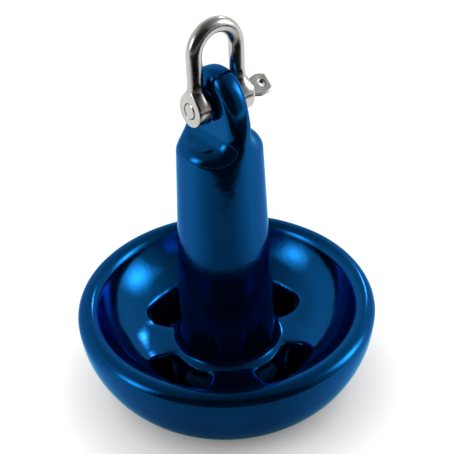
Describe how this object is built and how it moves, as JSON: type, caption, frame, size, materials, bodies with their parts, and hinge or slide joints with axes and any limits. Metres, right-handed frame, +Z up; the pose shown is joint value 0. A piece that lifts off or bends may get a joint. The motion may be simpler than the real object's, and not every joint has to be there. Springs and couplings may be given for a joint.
{
  "type": "mushroom_anchor",
  "caption": "Mushroom anchor: a round bowl, a tapered shank and an eye cast in one piece and dipped in glossy navy vinyl, with a polished stainless screw pin shackle",
  "frame": {"origin": "middle of the bounding box at the level of the flat base", "axes": "+Z up along the shank, +X along the shackle pin towards its flat head, +Y square to the pin"},
  "size_m": [0.17, 0.17, 0.2257],
  "materials": {
    "vinyl_skin": "thick glossy dipped vinyl",
    "stainless": "polished"
  },
  "bodies": {
    "anchor": {"anchor_casting": "vinyl_skin"},
    "bow": {"shackle_bow": "stainless"},
    "pin": {"shackle_pin": "stainless"}
  },
  "joints": [
    {"name": "shackle_swing", "type": "hinge", "parent": "anchor", "child": "bow", "pos_m": [0, 0, 0.1822], "axis": [1, 0, 0], "range_deg": [-125, 125]},
    {"name": "pin_withdraw", "type": "slide", "parent": "bow", "child": "pin", "axis": [1, 0, 0], "range_m": [0, 0.036]}
  ]
}
